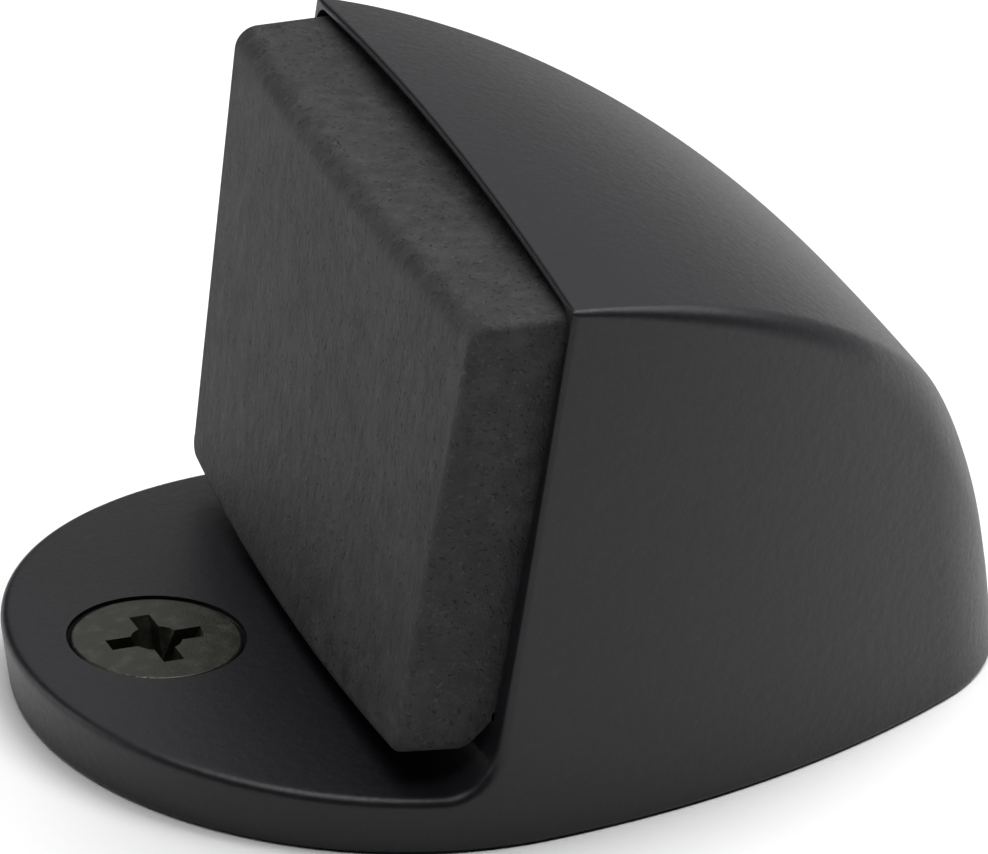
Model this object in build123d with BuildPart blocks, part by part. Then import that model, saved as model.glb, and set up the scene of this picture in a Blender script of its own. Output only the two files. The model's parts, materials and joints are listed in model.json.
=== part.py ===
from build123d import *
from math import acos, cos, degrees, radians, sin, tan
import os

# Plan outline: round nose at the front (-Y), flanks, narrow tail at the back.
# Each is (nose radius, nose centre y, flank radius, tail radius). The walls run
# straight between them: outwards at the nose and sides, inwards at the tail.
floor_plan = (17.5, 11.1, 58.2, 10.6)
top_plan = (19.15, 8.4, 42.5, 12.9)
top_plan_z = 28.0
nose_past_side = 8.0  # degrees that the nose arc runs on past its widest point

# Flange
flange_top = 3.4
flange_crown_r = 255.0
floor_edge = 0.25

# Hood: side outline on the centre plane, crowned from side to side
hood_top = 27.75
hood_front_y = 12.9
hood_crown_r = 200.0
top_heading = -8.7  # degrees below level where the top starts
top_r = 37.9
top_turn = 51.5
tail_outline_r = 19.6
tail_heading = -83.0
front_lean = 5.5  # degrees that the front leans back
foot_r = 2.0
brow_r = 1.5
front_edge_r = 0.2

# Hollow underside, narrowing upwards
core_top_plan = (17.1, 11.0, 44.0, 12.0)
side_wall = 2.2
top_wall = 2.2
front_wall = 3.0

# Recess in the front wall that the buffer sits in
recess_depth = 1.0
recess_gap = 0.3
recess_bottom = 6.0
lip = 0.3

# Buffer
buffer_front_y = 5.98  # where its leaning front would meet the floor
buffer_bottom_mid = 4.05
buffer_bottom_side = 4.55
buffer_bottom_drop = 4.0  # degrees that its underside falls towards the back
buffer_top_front = 26.1
buffer_top_back = 26.35
buffer_mid_half = 16.9
buffer_mid_z = 15.0
buffer_flare = 0.082
buffer_bulge = 0.47
buffer_bulge_r = 307.0
buffer_top_r = 1.2
buffer_edge_r = 0.5
buffer_corner_r = 1.0
foot_clear = 5.9  # height to which its back clears the rounded foot of the wall
foot_clear_depth = 2.2
stud_x = 9.5
stud_z = 16.0
stud_r = 2.0
stud_gap = 0.02
stud_grip = 3.05
stud_head_r = 2.9
stud_head_length = 3.4
stud_tip_r = 1.2

# Floor screw, 4 x 30 countersunk with a cross recess
head_r = 4.0
head_rim = 0.3
head_sunk = 0.1
head_edge_r = 0.12
screw_length = 30.0
core_r = 1.35
thread_r = 2.0
thread_pitch = 1.8
thread_root_r = 1.2
thread_root_half = 0.55
thread_crest_half = 0.08
thread_length = 21.6
tip_length = 4.5
tip_r = 0.15
hole_r = 2.3
sink_r = 4.2
sink_gap = 0.03
wing_half = 2.35
wing_half_width = 0.5
wing_depth = 1.9
wing_hub_r = 1.2
wing_hub_low_r = 0.6
wing_end_angle = 26.5
wing_turn = 4.0

os.makedirs("parts", exist_ok=True)

crown_half_arc = 7.0
under = 8.0


def lean(height):
    """How far back the leaning front is at a height."""
    return height * tan(radians(front_lean))


front_foot_y = hood_front_y - lean(hood_top)
up_front = Vector(0, sin(radians(front_lean)), cos(radians(front_lean)))
head_top = flange_top - head_sunk
seat_z = head_top - head_rim
tip_top_z = head_top - screw_length + tip_length


def on_front(height):
    """Point on the middle of the leaning front."""
    return (0, front_foot_y + lean(height), height)


def crown_plane(top_z, crown_r):
    """Plane of the centre outline, turned to one end of the crown's arc."""
    turn = radians(crown_half_arc)
    up = Vector(-sin(turn), 0, cos(turn))
    axis_z = top_z - crown_r
    return Plane(origin=Vector(0, 0, axis_z) - up * axis_z, x_dir=(0, 1, 0), z_dir=(cos(turn), 0, sin(turn)))


def crown_axis(top_z, crown_r):
    return Axis((0, 0, top_z - crown_r), (0, 1, 0))


def plan_lines(plan, inset):
    """Half of a plan outline and its mirror image, moved inwards by inset."""
    nose_r, nose_y, flank_r, tail_r = plan
    tail_start = degrees(acos((flank_r - nose_r) * cos(radians(nose_past_side)) / (flank_r - tail_r)))
    nose = JernArc((0, nose_y - nose_r + inset), (1, 0), nose_r - inset, 90 + nose_past_side)
    flank = JernArc(nose @ 1, nose % 1, flank_r - inset, tail_start - nose_past_side)
    JernArc(flank @ 1, flank % 1, tail_r - inset, 90 - tail_start)
    mirror(about=Plane.YZ)


def hood_lines(inset):
    """Side outline of the hood, inset from its top and tail."""
    heading = radians(top_heading)
    start = Vector(hood_front_y, hood_top) - Vector(-sin(heading), cos(heading)) * inset
    top = JernArc(start, (cos(heading), sin(heading)), top_r - inset, -top_turn)
    tail = JernArc(top @ 1, top % 1, tail_outline_r - inset, tail_heading - top_heading + top_turn)
    back = Line(tail @ 1, tail @ 1 + (tail % 1) * under)
    Polyline(back @ 1, ((back @ 1).X, -under), (front_foot_y - lean(under), -under), top @ 0)


def front_plane(forward):
    """Plane of the leaning front, moved forward; local Y runs up the front from the floor."""
    turn = radians(front_lean)
    out = Vector(0, -cos(turn), sin(turn))
    return Plane(origin=Vector(*on_front(0)) + out * forward, x_dir=(1, 0, 0), z_dir=out)


def half_width(height):
    """Half the buffer's width at a height."""
    return buffer_mid_half + buffer_flare * (height - buffer_mid_z)


def recess_lines():
    """Front view of the recess: the buffer's sides plus a gap, and a ceiling that follows the crown."""
    low = half_width(recess_bottom) + recess_gap
    high = half_width(hood_top) + recess_gap
    ceiling = (hood_top - lip) / cos(radians(front_lean))
    corner = ceiling - hood_crown_r + (hood_crown_r**2 - high**2) ** 0.5
    Polyline((-high, corner), (-low, recess_bottom), (low, recess_bottom), (high, corner))
    ThreePointArc((high, corner), (0, ceiling), (-high, corner))


def buffer_side():
    """Side view of the buffer, with a step where its plinth enters the recess."""
    front_y = buffer_front_y - 2 * buffer_bulge
    front_top = (front_y + lean(buffer_top_front), buffer_top_front)
    back_top = (front_foot_y + lean(buffer_top_back) + recess_depth, buffer_top_back)
    step = recess_bottom + recess_gap
    Polygon(
        (front_y, 0),
        front_top,
        back_top,
        (front_foot_y + lean(step) + recess_depth, step),
        (front_foot_y + lean(step), step),
        (front_foot_y + lean(foot_clear), foot_clear),
        (front_foot_y + lean(foot_clear) - foot_clear_depth, flange_top),
        (front_foot_y - foot_clear_depth, 0),
        align=None,
    )


# Everything inside the outer walls
with BuildPart() as envelope:
    for plan, height in ((floor_plan, 0), (top_plan, top_plan_z)):
        with BuildSketch(Plane.XY.offset(height)):
            with BuildLine():
                plan_lines(plan, 0)
            make_face()
    loft(ruled=True)

# A 45 degree flare up from just inside the floor outline, to break the edge at the floor
with BuildPart() as floor_break:
    with BuildSketch():
        with BuildLine():
            plan_lines(floor_plan, floor_edge)
        make_face()
    extrude(amount=top_plan_z, taper=-45)

# Hollow under the hood: drafted walls, with a top that follows the hood's outline
with BuildPart() as hollow:
    with BuildSketch(crown_plane(hood_top, hood_crown_r)):
        with BuildLine():
            hood_lines(top_wall)
        make_face()
        with Locations((front_foot_y + front_wall, 0)):
            Rectangle(
                4 * front_wall, 3 * hood_top, rotation=-front_lean,
                align=(Align.MAX, Align.CENTER), mode=Mode.SUBTRACT,
            )
    revolve(axis=crown_axis(hood_top, hood_crown_r), revolution_arc=2 * crown_half_arc)
    for plan, height in ((floor_plan, -under), (core_top_plan, top_plan_z)):
        with BuildSketch(Plane.XY.offset(height)):
            with BuildLine():
                plan_lines(plan, side_wall)
            make_face()
    loft(ruled=True, mode=Mode.INTERSECT)

with BuildPart() as body_casting:
    with BuildSketch(crown_plane(hood_top, hood_crown_r)):
        with BuildLine():
            hood_lines(0)
        make_face()
    revolve(axis=crown_axis(hood_top, hood_crown_r), revolution_arc=2 * crown_half_arc)
    with BuildSketch(crown_plane(flange_top, flange_crown_r)):
        with Locations((0, flange_top)):
            Rectangle(2 * front_foot_y + under, 2 * flange_top, align=(Align.CENTER, Align.MAX))
    revolve(axis=crown_axis(flange_top, flange_crown_r), revolution_arc=2 * crown_half_arc)
    add(envelope.part, mode=Mode.INTERSECT)

    creases = body_casting.edges().filter_by(GeomType.BSPLINE)
    fillet(creases.filter_by(lambda e: e.center().Y > hood_front_y and e.center().Z > floor_edge), brow_r)
    front = body_casting.faces().sort_by_distance(on_front(buffer_mid_z))[0]
    fillet(front.edges().filter_by(lambda e: e.center().Z > buffer_bottom_mid), front_edge_r)
    foot = body_casting.edges().sort_by_distance(on_front(flange_top))[0]
    fillet(foot, foot_r)
    add(floor_break.part, mode=Mode.INTERSECT)
    add(hollow.part, mode=Mode.SUBTRACT)

    with BuildSketch(front_plane(-recess_depth)):
        with BuildLine():
            recess_lines()
        make_face()
    extrude(amount=2 * recess_depth, mode=Mode.SUBTRACT)
    with BuildSketch(front_plane(0)):
        with Locations((-stud_x, stud_z), (stud_x, stud_z)):
            Circle(stud_r + stud_gap)
    extrude(amount=-2 * front_wall, mode=Mode.SUBTRACT)

    with BuildSketch(Plane.XZ):
        Polygon(
            (0, -under),
            (hole_r, -under),
            (hole_r, seat_z + hole_r - head_r - sink_gap),
            (sink_r, seat_z + sink_r - head_r - sink_gap),
            (sink_r, under),
            (0, under),
            align=None,
        )
    revolve(axis=Axis.Z, mode=Mode.SUBTRACT)

body_casting.part.label = "body_casting"
export_step(body_casting.part, "parts/body_casting.step")

with BuildPart() as rubber_buffer:
    # front view, swept forwards and up so that the underside falls to the back
    drop = radians(buffer_bottom_drop)
    with BuildSketch(Plane.XZ.offset(-hood_front_y - recess_depth)) as front_view:
        low = half_width(buffer_bottom_side)
        high = half_width(hood_top)
        fall = (hood_front_y + recess_depth - buffer_front_y) * tan(drop)
        with BuildLine():
            sides = Polyline(
                (-low, buffer_bottom_side - fall), (-high, hood_top),
                (high, hood_top), (low, buffer_bottom_side - fall),
            )
            ThreePointArc(sides @ 1, (0, buffer_bottom_mid - fall), sides @ 0)
        make_face()
        fillet(front_view.vertices().group_by(Axis.Y)[0], buffer_corner_r)
    extrude(amount=3 * under, dir=(0, -cos(drop), sin(drop)))
    with BuildSketch(Plane.YZ):
        buffer_side()
    extrude(amount=top_plan_z, both=True, mode=Mode.INTERSECT)
    # bulging front, along the lean
    with BuildSketch(Plane(origin=(0, buffer_front_y, 0), x_dir=(1, 0, 0), z_dir=up_front)):
        with Locations((0, buffer_bulge_r - buffer_bulge)):
            Circle(buffer_bulge_r)
    extrude(amount=2 * hood_top, both=True, mode=Mode.INTERSECT)

    mid_y = buffer_front_y + lean(buffer_mid_z)
    bottom_y = buffer_front_y + lean(buffer_bottom_side)
    top_y = buffer_front_y + lean(buffer_top_front)
    low_x = half_width(buffer_bottom_side)
    fillet(rubber_buffer.edges().sort_by_distance((0, top_y, buffer_top_front))[0], buffer_top_r)
    edges = rubber_buffer.edges()
    loop = [edges.sort_by_distance((0, bottom_y, buffer_bottom_mid))[0]]
    for side in (-1, 1):
        loop.append(edges.sort_by_distance((side * buffer_mid_half, mid_y, buffer_mid_z))[0])
        loop.append(edges.sort_by_distance((side * low_x, bottom_y, buffer_bottom_side))[0])
    fillet(loop, buffer_edge_r)

    # two studs with tapered heads that pull through the front wall
    with Locations(front_plane(0)):
        with Locations((-stud_x, stud_z), (stud_x, stud_z)):
            Cylinder(stud_r, stud_grip, align=(Align.CENTER, Align.CENTER, Align.MAX))
    with Locations(front_plane(-stud_grip)):
        with Locations((-stud_x, stud_z), (stud_x, stud_z)):
            Cone(stud_tip_r, stud_head_r, stud_head_length, align=(Align.CENTER, Align.CENTER, Align.MAX))

rubber_buffer.part.label = "rubber_buffer"
export_step(rubber_buffer.part, "parts/rubber_buffer.step")

with BuildPart() as thread:
    with BuildLine() as rise:
        Helix(thread_pitch, thread_length, thread_r, center=(0, 0, tip_top_z))
    with BuildSketch(Plane(origin=rise.line @ 0, x_dir=(1, 0, 0), z_dir=(0, 1, 0))):
        Polygon(
            (thread_root_r - thread_r, -thread_root_half),
            (0, -thread_crest_half),
            (0, thread_crest_half),
            (thread_root_r - thread_r, thread_root_half),
            align=None,
        )
    sweep(is_frenet=True)

with BuildPart() as floor_screw:
    with BuildSketch(Plane.XZ):
        Polygon(
            (0, head_top),
            (head_r, head_top),
            (head_r, seat_z),
            (core_r, seat_z - head_r + core_r),
            (core_r, tip_top_z),
            (tip_r, head_top - screw_length),
            (0, head_top - screw_length),
            align=None,
        )
    revolve(axis=Axis.Z)
    fillet(floor_screw.edges().group_by(Axis.Z)[-1], head_edge_r)
    add(thread.part)
    # cross recess: two tapered slots and a hollow between them
    end_in = wing_depth * tan(radians(wing_end_angle))
    for turn in (wing_turn, 90 + wing_turn):
        with BuildSketch(Plane.XZ.rotated((0, 0, turn))):
            Polygon(
                (wing_half, head_top),
                (wing_half - end_in, head_top - wing_depth),
                (end_in - wing_half, head_top - wing_depth),
                (-wing_half, head_top),
                align=None,
            )
        extrude(amount=wing_half_width, both=True, mode=Mode.SUBTRACT)
    with Locations((0, 0, head_top)):
        Cone(
            wing_hub_low_r, wing_hub_r, wing_depth,
            align=(Align.CENTER, Align.CENTER, Align.MAX), mode=Mode.SUBTRACT,
        )

floor_screw.part.label = "floor_screw"
export_step(floor_screw.part, "parts/floor_screw.step")
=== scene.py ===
"""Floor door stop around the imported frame: coated casting, rubber buffer, countersunk screw."""

import json
import math

import bpy
import numpy as np
from mathutils import Matrix, Vector

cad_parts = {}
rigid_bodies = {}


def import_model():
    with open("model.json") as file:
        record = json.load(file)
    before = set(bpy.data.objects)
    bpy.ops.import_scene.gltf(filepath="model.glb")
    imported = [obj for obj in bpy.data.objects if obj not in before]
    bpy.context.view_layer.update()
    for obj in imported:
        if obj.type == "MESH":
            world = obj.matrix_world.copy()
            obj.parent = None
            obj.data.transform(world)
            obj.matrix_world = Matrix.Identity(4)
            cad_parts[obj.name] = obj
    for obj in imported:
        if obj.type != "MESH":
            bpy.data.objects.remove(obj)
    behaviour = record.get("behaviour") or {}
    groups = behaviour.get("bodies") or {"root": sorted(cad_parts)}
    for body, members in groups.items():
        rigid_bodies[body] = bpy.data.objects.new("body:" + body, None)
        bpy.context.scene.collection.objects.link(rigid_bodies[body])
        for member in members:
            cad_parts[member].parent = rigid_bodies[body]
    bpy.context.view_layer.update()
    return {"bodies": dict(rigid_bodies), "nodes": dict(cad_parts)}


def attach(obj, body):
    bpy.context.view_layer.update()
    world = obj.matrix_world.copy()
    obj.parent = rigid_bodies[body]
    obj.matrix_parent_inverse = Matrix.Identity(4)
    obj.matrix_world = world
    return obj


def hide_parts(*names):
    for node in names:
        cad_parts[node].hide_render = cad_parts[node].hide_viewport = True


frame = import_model()
(body,) = frame["bodies"]
scene = bpy.context.scene
MM = 0.001

# ---------------------------------------------------------------- materials

# The colour sockets of a Mix node, which share their names with its other kinds
MIX_FACTOR, MIX_A, MIX_B, MIX_RESULT = 0, 6, 7, 2


class Nodes:
    """A material with short helpers for making and joining nodes."""

    def __init__(self, name):
        self.material = bpy.data.materials.new(name)
        self.material.use_nodes = True
        self.tree = self.material.node_tree
        self.tree.nodes.clear()
        self.shader = self.add("ShaderNodeBsdfPrincipled")
        out = self.add("ShaderNodeOutputMaterial")
        self.join(self.shader.outputs["BSDF"], out.inputs["Surface"])
        self.place = self.add("ShaderNodeTexCoord").outputs["Object"]

    def add(self, kind, **values):
        node = self.tree.nodes.new(kind)
        for key, value in values.items():
            setattr(node, key, value)
        return node

    def join(self, a, b):
        self.tree.links.new(a, b)

    def stretched(self, scale):
        """Object coordinates in millimetres, scaled by axis."""
        mapping = self.add("ShaderNodeMapping")
        mapping.inputs["Scale"].default_value = [s / MM for s in scale]
        self.join(self.place, mapping.inputs["Vector"])
        return mapping.outputs["Vector"]

    def noise(self, scale, detail, rough=0.55, stretch=(1, 1, 1)):
        """Noise with scale features a millimetre."""
        node = self.add("ShaderNodeTexNoise")
        node.inputs["Scale"].default_value = scale
        node.inputs["Detail"].default_value = detail
        node.inputs["Roughness"].default_value = rough
        self.join(self.stretched(stretch), node.inputs["Vector"])
        return node.outputs["Fac"]

    def cells(self, scale):
        """Soft cells, scale of them a millimetre."""
        node = self.add("ShaderNodeTexVoronoi", feature="SMOOTH_F1")
        node.inputs["Scale"].default_value = scale
        self.join(self.stretched((1, 1, 1)), node.inputs["Vector"])
        return node.outputs["Distance"]

    def ramp(self, factor, stops):
        """Colour ramp from (position, colour) stops; a number is a grey."""
        node = self.add("ShaderNodeValToRGB")
        while len(node.color_ramp.elements) < len(stops):
            node.color_ramp.elements.new(0.5)
        for element, (position, colour) in zip(node.color_ramp.elements, stops):
            grey = isinstance(colour, (int, float))
            element.position = position
            element.color = (colour, colour, colour, 1) if grey else (*colour, 1)
        self.join(factor, node.inputs["Fac"])
        return node.outputs["Color"]

    def maths(self, kind, a, b):
        """A sum on two values; each is a number or another node's output."""
        node = self.add("ShaderNodeMath", operation=kind)
        for socket, value in zip(node.inputs, (a, b)):
            if isinstance(value, (int, float)):
                socket.default_value = value
            else:
                self.join(value, socket)
        return node.outputs["Value"]

    def mix(self, factor, a, b):
        """Mix of two colours; each is three numbers or another node's output."""
        node = self.add("ShaderNodeMix", data_type="RGBA")
        sockets = (node.inputs[MIX_FACTOR], node.inputs[MIX_A], node.inputs[MIX_B])
        for socket, value in zip(sockets, (factor, a, b)):
            if isinstance(value, (int, float)):
                socket.default_value = value
            elif isinstance(value, tuple):
                socket.default_value = (*value, 1)
            else:
                self.join(value, socket)
        return node.outputs[MIX_RESULT]

    def bump(self, height, depth, below=None):
        """Bump of a depth in millimetres."""
        node = self.add("ShaderNodeBump")
        node.inputs["Distance"].default_value = depth * MM
        self.join(height, node.inputs["Height"])
        if below is not None:
            self.join(below, node.inputs["Normal"])
        return node.outputs["Normal"]

    def finish(self, colour, roughness, normal, **values):
        """Join up the shader and set its other sockets, named with _ for a space."""
        self.join(colour, self.shader.inputs["Base Color"])
        self.join(roughness, self.shader.inputs["Roughness"])
        self.join(normal, self.shader.inputs["Normal"])
        for name, value in values.items():
            self.shader.inputs[name.replace("_", " ")].default_value = value
        return self.material


def powder_coat():
    """Matt black paint: fine grain over orange peel, with dust and a few rubbed spots."""
    m = Nodes("powder_coat")
    patches = m.noise(0.15, 3, 0.6)
    grain = m.noise(4.5, 3, 0.6)
    peel = m.cells(1.8)
    dust = m.ramp(m.noise(7.0, 1, 0.5), ((0.66, 0.0), (0.76, 1.0)))
    rubbed = m.ramp(m.noise(0.5, 5, 0.7), ((0.62, 0.0), (0.72, 1.0)))
    colour = m.mix(patches, (0.0040, 0.0034, 0.0054), (0.0066, 0.0058, 0.0086))
    colour = m.mix(m.maths("MULTIPLY", dust, 0.20), colour, (0.050, 0.050, 0.050))
    colour = m.mix(m.maths("MULTIPLY", rubbed, 0.25), colour, (0.018, 0.018, 0.020))
    roughness = m.ramp(grain, ((0.3, 0.39), (0.7, 0.48)))
    roughness = m.maths("SUBTRACT", roughness, m.maths("MULTIPLY", rubbed, 0.03))
    normal = m.bump(grain, 0.012, m.bump(peel, 0.014))
    return m.finish(colour, roughness, normal, Specular_IOR_Level=0.36)


def moulded_rubber():
    """Dark grey rubber, mottled and clouded, with pale specks, and pits darkened with painted
    shade.
    """
    m = Nodes("moulded_rubber")
    drags = m.noise(1.1, 6, 0.72, (1.15, 0.8, 0.65))
    mottle = m.noise(0.75, 6, 0.72)
    clouds = m.ramp(m.noise(0.22, 4, 0.6), ((0.38, 0.0), (0.62, 1.0)))
    grain = m.noise(7.0, 2, 0.6)
    pits = m.ramp(m.noise(3.4, 1, 0.5), ((0.27, 0.0), (0.36, 1.0)))
    specks = m.ramp(m.noise(4.0, 1, 0.5), ((0.66, 0.0), (0.73, 1.0)))
    tone = m.maths("MULTIPLY", m.maths("ADD", drags, mottle), 0.5)
    tone = m.ramp(tone, ((0.36, 0.0), (0.62, 1.0)))
    colour = m.mix(tone, (0.009, 0.009, 0.0092), (0.048, 0.048, 0.0485))
    colour = m.mix(m.maths("MULTIPLY", clouds, 0.50), colour, (0.017, 0.017, 0.0174))
    colour = m.mix(m.maths("MULTIPLY", specks, 0.28), colour, (0.10, 0.10, 0.097))
    # Painted shade: the pits are darkened towards near black, standing in for the shade inside
    # them
    pit_shade = m.maths("SUBTRACT", 0.45, m.maths("MULTIPLY", pits, 0.45))
    colour = m.mix(pit_shade, colour, (0.006, 0.006, 0.006))
    roughness = m.ramp(mottle, ((0.3, 0.60), (0.7, 0.80)))
    normal = m.bump(pits, 0.05, m.bump(grain, 0.02, m.bump(drags, 0.16, m.bump(mottle, 0.10))))
    return m.finish(colour, roughness, normal, Specular_IOR_Level=0.35)


def dark_steel():
    """Dark plated steel, brighter in patches that are partly rubbed wear and partly painted
    highlight speckles.
    """
    m = Nodes("dark_steel")
    wear = m.noise(1.3, 5, 0.65)
    fine = m.noise(7.0, 2)
    # Brighter patches: partly rubbed wear, partly painted highlight speckles
    rubbed = m.ramp(wear, ((0.50, 0.0), (0.68, 1.0)))
    colour = m.mix(wear, (0.034, 0.034, 0.028), (0.078, 0.078, 0.066))
    colour = m.mix(m.maths("MULTIPLY", rubbed, 0.3), colour, (0.15, 0.15, 0.13))
    roughness = m.ramp(wear, ((0.3, 0.36), (0.7, 0.50)))
    normal = m.bump(fine, 0.018, m.bump(wear, 0.03))
    return m.finish(colour, roughness, normal, Metallic=0.85)


# ---------------------------------------------------------------- casting

# Outlines in millimetres. A plan is (nose radius, nose centre y, flank radius, tail radius);
# the walls run straight from the floor plan to the top plan, PLAN_RISE above it.
FLOOR_PLAN = (17.5, 11.1, 58.2, 10.6)
TOP_PLAN = (19.15, 8.4, 42.5, 12.9)
CORE_TOP_PLAN = (17.1, 11.0, 44.0, 12.0)
PLAN_RISE = 28.0
PAST_SIDE = math.radians(8)
FLANGE_TOP, FLANGE_CROWN = 3.4, 255.0
HOOD_TOP, HOOD_CROWN, HOOD_FRONT = 27.75, 200.0, 12.9
HEADING, TOP_R, TOP_TURN = math.radians(-8.7), 37.9, math.radians(51.5)
TAIL_R, TAIL_HEADING = 19.6, math.radians(-83)
LEAN = math.radians(5.5)
FRONT_FOOT = HOOD_FRONT - HOOD_TOP * math.tan(LEAN)
SIDE_WALL, TOP_WALL, FRONT_WALL = 2.2, 2.2, 3.0
BELOW_FLOOR = 2  # how far the tools that cut from below reach past the floor

# Roundings. The brow's grows from the front corner to the tail. It takes over from the flange's
# going up from BROW_FROM_Z, and near the tail, where the brow is low, going back from BROW_FROM_Y.
FRONT_EDGE_R = 0.2
FLANGE_EDGE_R = 0.5
FLOOR_EDGE_R = 0.3
FOOT_R = 2.2
HOLLOW_R = 1.0
BROW_Y = (12.5, 19.0, 30.0, 38.0)
BROW_R = (0.25, 0.7, 1.2, 2.4)
BROW_FROM_Z, BROW_OVER_Z = 5, 5
BROW_FROM_Y, BROW_OVER_Y = 26, 8


def plan_distance(x, y, z, low, high):
    """How far outside the walls a point is; the walls run from a low plan to a high one."""
    nose_r, nose_y, flank_r, tail_r = (a + (b - a) * z / PLAN_RISE for a, b in zip(low, high))
    x = np.abs(x)
    flank_x = (nose_r - flank_r) * math.cos(PAST_SIDE)
    flank_y = nose_y + (nose_r - flank_r) * math.sin(PAST_SIDE)
    tail_y = flank_y + np.sqrt((flank_r - tail_r) ** 2 - flank_x**2)
    nose = np.hypot(x, y - nose_y) - nose_r
    flank = np.hypot(x - flank_x, y - flank_y) - flank_r
    tail = np.hypot(x, y - tail_y) - tail_r
    on_nose = y - nose_y < x * math.tan(PAST_SIDE)
    on_tail = (tail_y - y) * flank_x > (tail_y - flank_y) * x
    return np.where(on_nose, nose, np.where(on_tail, tail, flank))


def crowned(x, z, top, crown):
    """Height on the centre plane of the crowned surface through a point."""
    return np.hypot(x, z - top + crown) + top - crown


def up_from(heading):
    """Unit (y, z) way square to a heading, which is measured up from the way back."""
    return np.array((-math.sin(heading), math.cos(heading)))


TOP_CENTRE = np.array((HOOD_FRONT, HOOD_TOP)) - up_from(HEADING) * TOP_R
TAIL_CENTRE = TOP_CENTRE + up_from(HEADING - TOP_TURN) * (TOP_R - TAIL_R)


def hood_distance(y, z):
    """How far outside the hood's side outline a point is."""
    top = np.hypot(y - TOP_CENTRE[0], z - TOP_CENTRE[1]) - TOP_R
    tail = np.hypot(y - TAIL_CENTRE[0], z - TAIL_CENTRE[1]) - TAIL_R
    out_y, out_z = up_from(TAIL_HEADING)
    back = (y - TAIL_CENTRE[0]) * out_y + (z - TAIL_CENTRE[1]) * out_z - TAIL_R
    on_top = np.arctan2(y - TOP_CENTRE[0], z - TOP_CENTRE[1]) < TOP_TURN - HEADING
    on_tail = np.arctan2(y - TAIL_CENTRE[0], z - TAIL_CENTRE[1]) < -TAIL_HEADING
    return np.where(on_top, top, np.where(on_tail, tail, back))


def front_distance(y, z):
    """How far in front of the hood's leaning front face a point is."""
    return (FRONT_FOOT + z * math.tan(LEAN) - y) * math.cos(LEAN)


def both(a, b, r):
    """Where two shapes overlap, with the edge between them rounded."""
    return np.minimum(-r, np.maximum(a, b)) + np.hypot(np.maximum(a + r, 0), np.maximum(b + r, 0))


def either(a, b, r):
    """Two shapes joined, with the corner between them filled."""
    return np.maximum(r, np.minimum(a, b)) - np.hypot(np.maximum(r - a, 0), np.maximum(r - b, 0))


def casting_distance(x, y, z):
    """How far outside the uncut casting a point is."""
    walls = plan_distance(x, y, z, FLOOR_PLAN, TOP_PLAN)
    roof = hood_distance(y, crowned(x, z, HOOD_TOP, HOOD_CROWN))
    hood = both(roof, front_distance(y, z), FRONT_EDGE_R)
    flange = crowned(x, z, FLANGE_TOP, FLANGE_CROWN) - FLANGE_TOP
    up_or_back = np.maximum((z - BROW_FROM_Z) / BROW_OVER_Z, (y - BROW_FROM_Y) / BROW_OVER_Y)
    on_hood = np.clip(up_or_back, 0, 1)
    edge = FLANGE_EDGE_R + (np.interp(y, BROW_Y, BROW_R) - FLANGE_EDGE_R) * on_hood
    body = both(walls, either(hood, flange, FOOT_R), edge)
    return both(body, -z, FLOOR_EDGE_R)


def hollow_distance(x, y, z):
    """How far outside the hollow under the hood a point is."""
    walls = plan_distance(x, y, z, FLOOR_PLAN, CORE_TOP_PLAN) + SIDE_WALL
    roof = hood_distance(y, crowned(x, z, HOOD_TOP, HOOD_CROWN)) + TOP_WALL
    inside = both(both(walls, roof, HOLLOW_R), front_distance(y, z) + FRONT_WALL, HOLLOW_R)
    return np.maximum(inside, -BELOW_FLOOR - z)


RAY_REACH = 60.0
HALVINGS = 30


def leave(distance, centre, turn, rise):
    """Where rays from a centre leave a shape, by halving."""
    flat = np.cos(rise)
    way = np.stack((np.sin(turn) * flat, -np.cos(turn) * flat, np.sin(rise)), axis=-1)
    near = np.zeros(turn.shape)
    far = np.full(turn.shape, RAY_REACH)
    for _ in range(HALVINGS):
        middle = (near + far) / 2
        inside = distance(*np.moveaxis(centre + way * middle[..., None], -1, 0)) < 0
        near = np.where(inside, middle, near)
        far = np.where(inside, far, middle)
    return centre + way * near[..., None]


def closer_where_bent(points, rise, count, pull):
    """New rises for each turn, spaced along the surface and drawn in to its bends."""
    step = np.diff(points, axis=1)
    length = np.linalg.norm(step, axis=2)
    way = step / np.maximum(length, 1e-9)[..., None]
    bend = np.arccos(np.clip((way[:, 1:] * way[:, :-1]).sum(axis=2), -1, 1))
    share = length.copy()
    share[:, 1:] += pull * bend / 2
    share[:, :-1] += pull * bend / 2
    along = np.concatenate((np.zeros((len(share), 1)), np.cumsum(share, axis=1)), axis=1)
    new = [np.interp(np.linspace(0, a[-1], count), a, r) for a, r in zip(along, rise)]
    return np.array(new)


def solid(name, verts, faces):
    """Object of a mesh, linked into the scene."""
    mesh = bpy.data.meshes.new(name)
    mesh.from_pydata(verts, [], faces)
    piece = bpy.data.objects.new(name, mesh)
    scene.collection.objects.link(piece)
    return piece


FIRST_RISES = 300
BEND_PULL = 3.0


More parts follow.
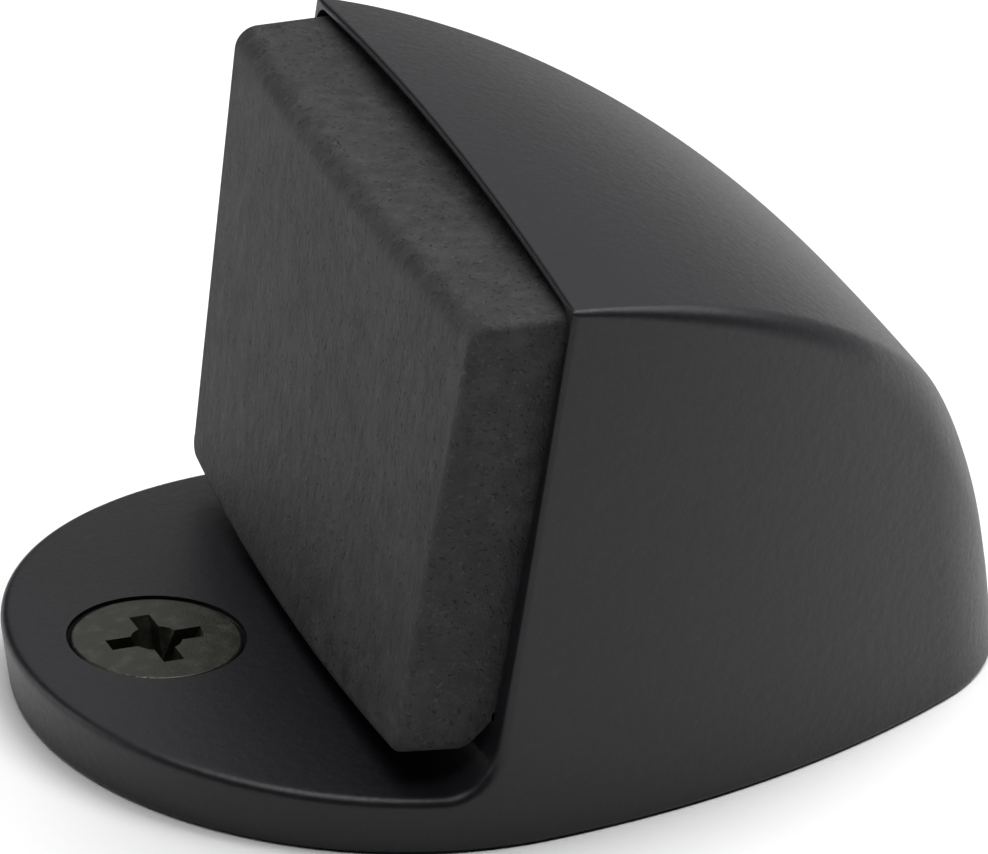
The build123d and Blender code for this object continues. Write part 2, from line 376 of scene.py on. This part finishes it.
def star_mesh(name, distance, centre, turns, count):
    """Closed mesh of a shape whose surface each ray from a centre meets once."""
    centre = np.array(centre)
    rise = np.tile(np.linspace(-math.pi / 2, math.pi / 2, FIRST_RISES), (len(turns), 1))
    for size in (2 * count, count):
        turn = np.repeat(turns[:, None], rise.shape[1], axis=1)
        rise = closer_where_bent(leave(distance, centre, turn, rise), rise, size, BEND_PULL)
    turn = np.repeat(turns[:, None], count, axis=1)
    points = leave(distance, centre, turn, rise)
    rings = points[:, 1:-1]
    rows = rings.shape[1]
    verts = np.concatenate((rings.reshape(-1, 3), points[:1, 0], points[:1, -1])) * MM
    low, high = len(verts) - 2, len(verts) - 1
    faces = []
    for i in range(len(turns)):
        a, b = i * rows, (i + 1) % len(turns) * rows
        faces.append((low, b, a))
        faces += [(a + j, b + j, b + j + 1, a + j + 1) for j in range(rows - 1)]
        faces.append((a + rows - 1, b + rows - 1, high))
    return solid(name, verts.tolist(), faces)


def prism(name, outline, plane, near, far):
    """Closed prism of (across, up) points on a plane, from near to far along its normal."""
    origin, across, up_way, normal = (np.array(v, dtype=float) for v in plane)
    flat = np.array([origin + across * u + up_way * v for u, v in outline])
    verts = np.concatenate((flat + normal * near, flat + normal * far)) * MM
    n = len(outline)
    faces = [tuple(range(n - 1, -1, -1)), tuple(range(n, 2 * n))]
    faces += [(i, (i + 1) % n, n + (i + 1) % n, n + i) for i in range(n)]
    return solid(name, verts.tolist(), faces)


def full_turn(sides):
    return [2 * math.pi * k / sides for k in range(sides)]


def turned(name, outline, sides):
    """Closed solid turned about Z from an outline of (radius, height) points, low to high."""
    angles = full_turn(sides)
    verts = [
        (r * math.cos(q) * MM, r * math.sin(q) * MM, z * MM) for r, z in outline for q in angles
    ]
    faces = [tuple(range(sides - 1, -1, -1)), tuple(range(len(verts) - sides, len(verts)))]
    for j in range(len(outline) - 1):
        for k in range(sides):
            near, far = j * sides + k, j * sides + (k + 1) % sides
            faces.append((near, far, far + sides, near + sides))
    return solid(name, verts, faces)


def cut(piece, tool):
    """Cut a tool out of a piece and drop the tool."""
    bpy.context.view_layer.objects.active = piece
    change = piece.modifiers.new("cut", "BOOLEAN")
    change.operation = "DIFFERENCE"
    change.solver = "EXACT"
    change.object = tool
    bpy.ops.object.modifier_apply(modifier=change.name)
    bpy.data.objects.remove(tool)


# The casting's front edges lie between these directions, in degrees from the front; directions
# there are 1 + EDGES_EXTRA times as close together.
EDGES_FROM, EDGES_TO, EDGES_EXTRA = 66, 96, 3
FINE_TURNS = 7201


def spaced_turns(count):
    """Directions round the casting, closer together where its front edges are."""
    fine = np.linspace(-math.pi, math.pi, FINE_TURNS)
    degrees = np.abs(np.degrees(fine))
    weight = 1 + EDGES_EXTRA * ((degrees > EDGES_FROM) & (degrees < EDGES_TO))
    along = np.concatenate(((0,), np.cumsum((weight[1:] + weight[:-1]) / 2)))
    return np.interp(np.linspace(0, along[-1], count + 1)[:-1], along, fine)


# Recess behind the buffer, and the holes its studs pull through
RECESS_DEPTH, RECESS_GAP, RECESS_BOTTOM, LIP = 1.0, 0.3, 6.0, 0.3
RECESS_CORNER_R = 1.25
CROWN_STEPS, CORNER_STEPS = 40, 8
BUFFER_MID_HALF, BUFFER_MID_Z, BUFFER_FLARE = 16.9, 15.0, 0.082
STUD_X, STUD_Z, STUD_HOLE_R, STUD_SIDES = 9.5, 16.0, 2.02, 48

# Countersunk screw hole, as (radius, height) points from below the floor to above the flange
SCREW_HOLE = ((2.3, -BELOW_FLOOR), (2.3, 1.27), (4.2, 3.17), (4.2, 8))
SCREW_SIDES = 128

# Plane of the hood's front face: origin, across, up and normal
FRONT_PLANE = (
    (0, FRONT_FOOT, 0),
    (1, 0, 0),
    (0, math.sin(LEAN), math.cos(LEAN)),
    (0, -math.cos(LEAN), math.sin(LEAN)),
)


def recess_outline():
    """Outline on the front plane of the recess the buffer sits in, under the hood's lip."""
    low = BUFFER_MID_HALF + BUFFER_FLARE * (RECESS_BOTTOM - BUFFER_MID_Z) + RECESS_GAP
    high = BUFFER_MID_HALF + BUFFER_FLARE * (HOOD_TOP - BUFFER_MID_Z) + RECESS_GAP
    ceiling = (HOOD_TOP - LIP) / math.cos(LEAN)
    flat = high - RECESS_CORNER_R
    crown = [flat * (1 - k / (CROWN_STEPS / 2)) for k in range(CROWN_STEPS + 1)]
    arc = [(x, ceiling - HOOD_CROWN + math.sqrt(HOOD_CROWN**2 - x * x)) for x in crown]
    corner_z = arc[0][1] - RECESS_CORNER_R
    bend = [math.pi / 2 * k / CORNER_STEPS for k in range(CORNER_STEPS)]
    r = RECESS_CORNER_R
    right = [(flat + r * math.cos(q), corner_z + r * math.sin(q)) for q in bend]
    left = [(-x, z) for x, z in reversed(right)]
    return [(-low, RECESS_BOTTOM), (low, RECESS_BOTTOM)] + right + arc + left


def ring_outline(x, z, r, sides):
    return [(x + r * math.cos(q), z + r * math.sin(q)) for q in full_turn(sides)]


# Each star mesh: where its rays start, how many directions round it has, and points on each
CASTING_CENTRE, CASTING_TURNS, CASTING_COUNT = (0, 14, 1.2), 420, 230
HOLLOW_CENTRE, HOLLOW_TURNS, HOLLOW_COUNT = (0, 24, 3), 160, 90
SHARP_ANGLE = math.radians(35)

casting = star_mesh(
    "casting_body", casting_distance, CASTING_CENTRE, spaced_turns(CASTING_TURNS), CASTING_COUNT
)
even_turns = np.linspace(-math.pi, math.pi, HOLLOW_TURNS, endpoint=False)
cut(casting, star_mesh("hollow", hollow_distance, HOLLOW_CENTRE, even_turns, HOLLOW_COUNT))
cut(casting, prism("recess", recess_outline(), FRONT_PLANE, -RECESS_DEPTH, RECESS_DEPTH))
for side in (-1, 1):
    hole = ring_outline(side * STUD_X, STUD_Z, STUD_HOLE_R, STUD_SIDES)
    cut(casting, prism("stud_hole", hole, FRONT_PLANE, -2 * FRONT_WALL, RECESS_DEPTH))
cut(casting, turned("screw_hole", SCREW_HOLE, SCREW_SIDES))
casting.data.shade_smooth()
casting.data.set_sharp_from_angle(angle=SHARP_ANGLE)
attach(casting, body)
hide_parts("body_casting")


def dress(piece, material):
    """Give a piece its material."""
    piece.data.materials.clear()
    piece.data.materials.append(material)


dress(casting, powder_coat())
dress(frame["nodes"]["rubber_buffer"], moulded_rubber())
dress(frame["nodes"]["floor_screw"], dark_steel())

# ---------------------------------------------------------------- floor, light and camera

FLOOR_HALF = 3.0
FLOOR_GREY = 0.92
FLOOR_ROUGHNESS = 0.9
WORLD_STRENGTH = 0.01

bpy.ops.mesh.primitive_plane_add(size=2 * FLOOR_HALF, location=(0, 0, 0))
floor = bpy.context.object
floor.name = "floor"
pale = bpy.data.materials.new("pale_floor")
pale.use_nodes = True
pale_shader = pale.node_tree.nodes["Principled BSDF"]
pale_shader.inputs["Base Color"].default_value = (FLOOR_GREY, FLOOR_GREY, FLOOR_GREY, 1)
pale_shader.inputs["Roughness"].default_value = FLOOR_ROUGHNESS
floor.data.materials.append(pale)

world = bpy.data.worlds.new("studio")
world.use_nodes = True
background = world.node_tree.nodes["Background"]
background.inputs["Color"].default_value = (1, 1, 1, 1)
background.inputs["Strength"].default_value = WORLD_STRENGTH
scene.world = world

# Distance and size of the lights, in metres
LIGHT_DISTANCE = 0.7
LIGHT_SIZE = 0.5


def outward(azimuth, elevation):
    """Unit way out from the object; azimuth in degrees from the front, elevation from level."""
    a, e = math.radians(azimuth), math.radians(elevation)
    return Vector((math.sin(a) * math.cos(e), -math.cos(a) * math.cos(e), math.sin(e)))


def soft_light(name, azimuth, elevation, power):
    """Round area light that faces the object."""
    out = outward(azimuth, elevation)
    data = bpy.data.lights.new(name, "AREA")
    data.shape = "DISK"
    data.size = LIGHT_SIZE
    data.energy = power
    light = bpy.data.objects.new(name, data)
    light.location = out * LIGHT_DISTANCE
    light.rotation_mode = "QUATERNION"
    light.rotation_quaternion = (-out).to_track_quat("-Z", "Y")
    scene.collection.objects.link(light)


soft_light("overhead", 20, 80, 2.6)
soft_light("back_high", 190, 68, 3.1)
soft_light("back", 195, 42, 1.6)
soft_light("front", -30, 14, 1.15)
soft_light("far_side", -120, 14, 0.25)
soft_light("far_high", -100, 46, 0.45)

# Camera: direction it looks from and its tilt in degrees, and the point it looks at
VIEW_AZIMUTH = 70.03
VIEW_ELEVATION = 25.56
VIEW_TILT = 2.73
VIEW_DISTANCE = 322.7 * MM
LENS_MM = 252.46
SENSOR_MM = 36.0
CLIP_START = 0.01
AIM = Vector((0.0, 16.15, 12.335)) * MM

a, t = math.radians(VIEW_AZIMUTH), math.radians(VIEW_TILT)
back = outward(VIEW_AZIMUTH, VIEW_ELEVATION)
right = Vector((math.cos(a), math.sin(a), 0))
up = back.cross(right)
tilted_right = right * math.cos(t) + up * math.sin(t)
tilted_up = up * math.cos(t) - right * math.sin(t)
camera = bpy.data.objects.new("camera", bpy.data.cameras.new("camera"))
camera.data.sensor_width = SENSOR_MM
camera.data.lens = LENS_MM
camera.data.clip_start = CLIP_START
turn = Matrix((tilted_right, tilted_up, back)).transposed()
camera.matrix_world = Matrix.Translation(AIM + back * VIEW_DISTANCE) @ turn.to_4x4()
scene.collection.objects.link(camera)
scene.camera = camera
scene.view_settings.view_transform = "Standard"
